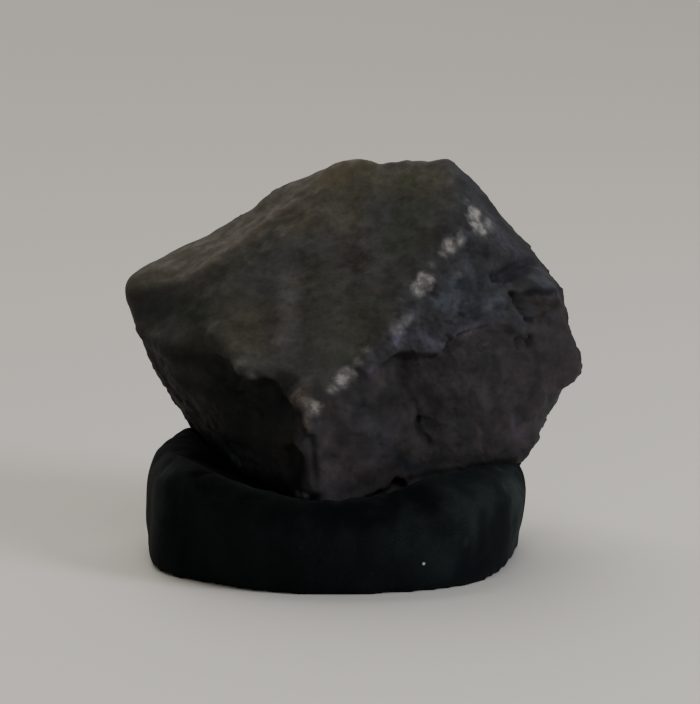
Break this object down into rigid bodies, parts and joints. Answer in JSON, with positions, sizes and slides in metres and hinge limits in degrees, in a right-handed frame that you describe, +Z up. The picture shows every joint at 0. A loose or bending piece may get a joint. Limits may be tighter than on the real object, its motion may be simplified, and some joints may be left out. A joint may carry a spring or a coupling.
{
  "type": "meteorite on a display cushion",
  "caption": "Dark stony meteorite, a faceted block with flat fusion-crusted faces and a rough broken side, resting in a round padded black velvet cushion.",
  "frame": {"origin": "on the table, under the middle of the cushion", "axes": "+Z up, -Y towards the viewer in front, +X to the viewer's right, along the stone's longest side"},
  "size_m": [0.1518, 0.1221, 0.1264],
  "materials": {
    "crusted_stone": "matte",
    "velvet": "matte"
  },
  "bodies": {
    "root": {"meteorite": "crusted_stone", "velvet_cushion": "velvet"}
  },
  "joints": []
}
